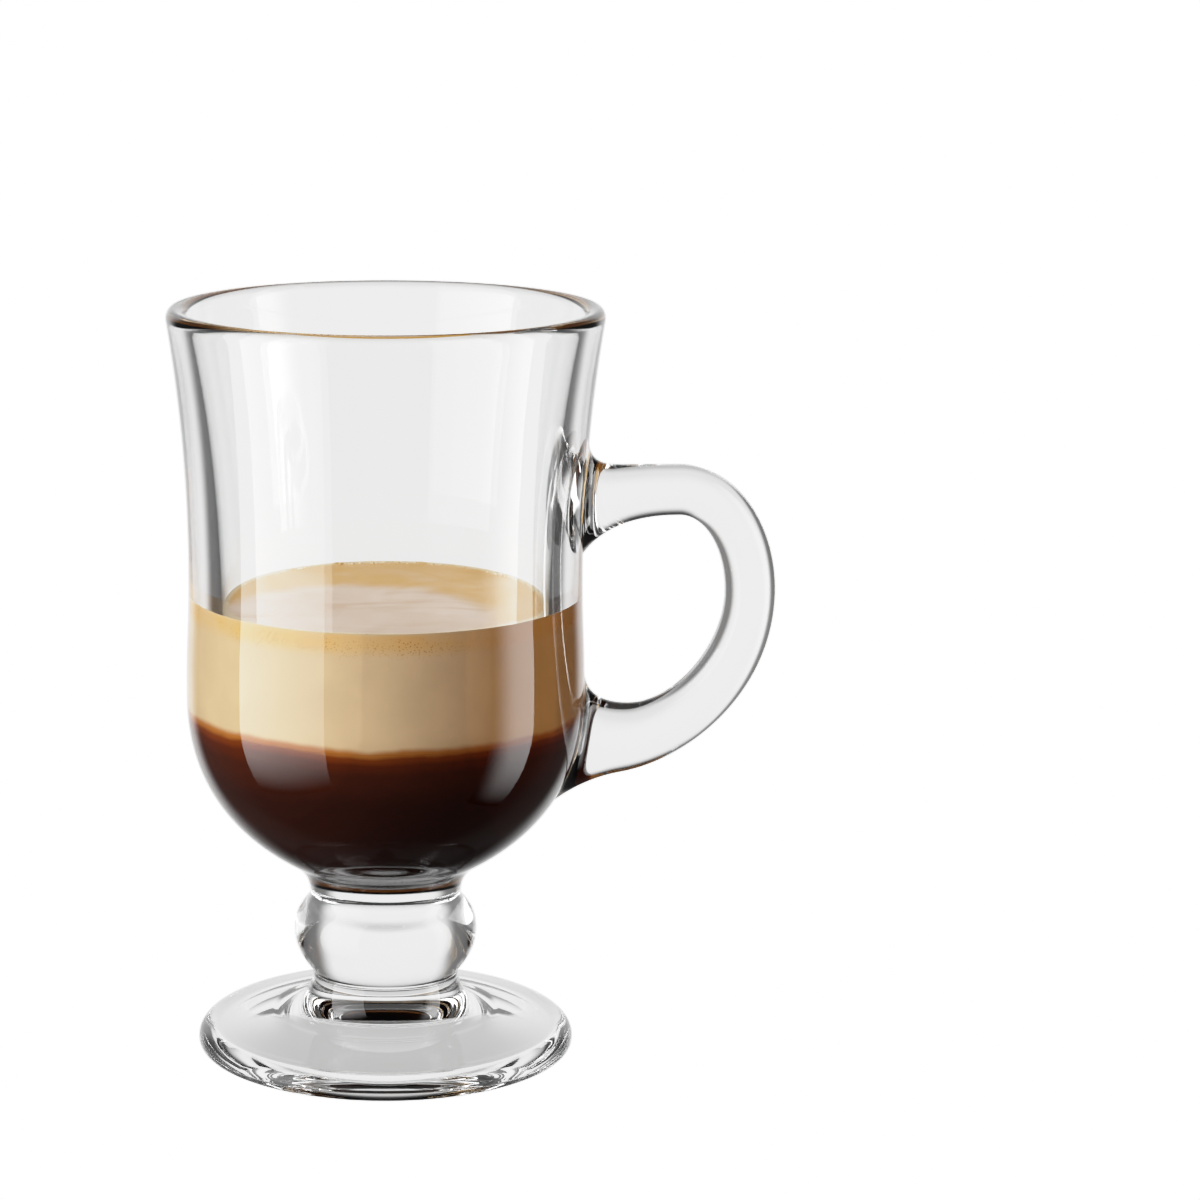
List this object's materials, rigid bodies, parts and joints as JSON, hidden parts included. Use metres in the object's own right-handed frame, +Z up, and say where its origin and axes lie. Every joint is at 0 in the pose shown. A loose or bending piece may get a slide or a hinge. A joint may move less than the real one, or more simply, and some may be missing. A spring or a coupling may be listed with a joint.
{
  "type": "glass macchiato cup",
  "caption": "Footed clear-glass coffee cup with a flared bowl, knop stem, round foot and strap handle, holding espresso under a layer of milk foam.",
  "frame": {"origin": "on the cup's axis, in the plane of the flat ring that the foot stands on", "axes": "+Z up along the cup's axis, +X towards the handle, which lies in the X-Z plane"},
  "size_m": [0.1078, 0.077, 0.135],
  "materials": {
    "clear_glass": "clear soda-lime glass, fire-polished",
    "espresso": "dark opaque liquid, seen through the glass",
    "milk_foam": "fine matt foam with a golden crema tint"
  },
  "bodies": {
    "root": {"bowl": "clear_glass", "handle": "clear_glass", "stem_knop": "clear_glass", "foot": "clear_glass", "coffee": "espresso", "milk_foam": "milk_foam"}
  },
  "joints": []
}
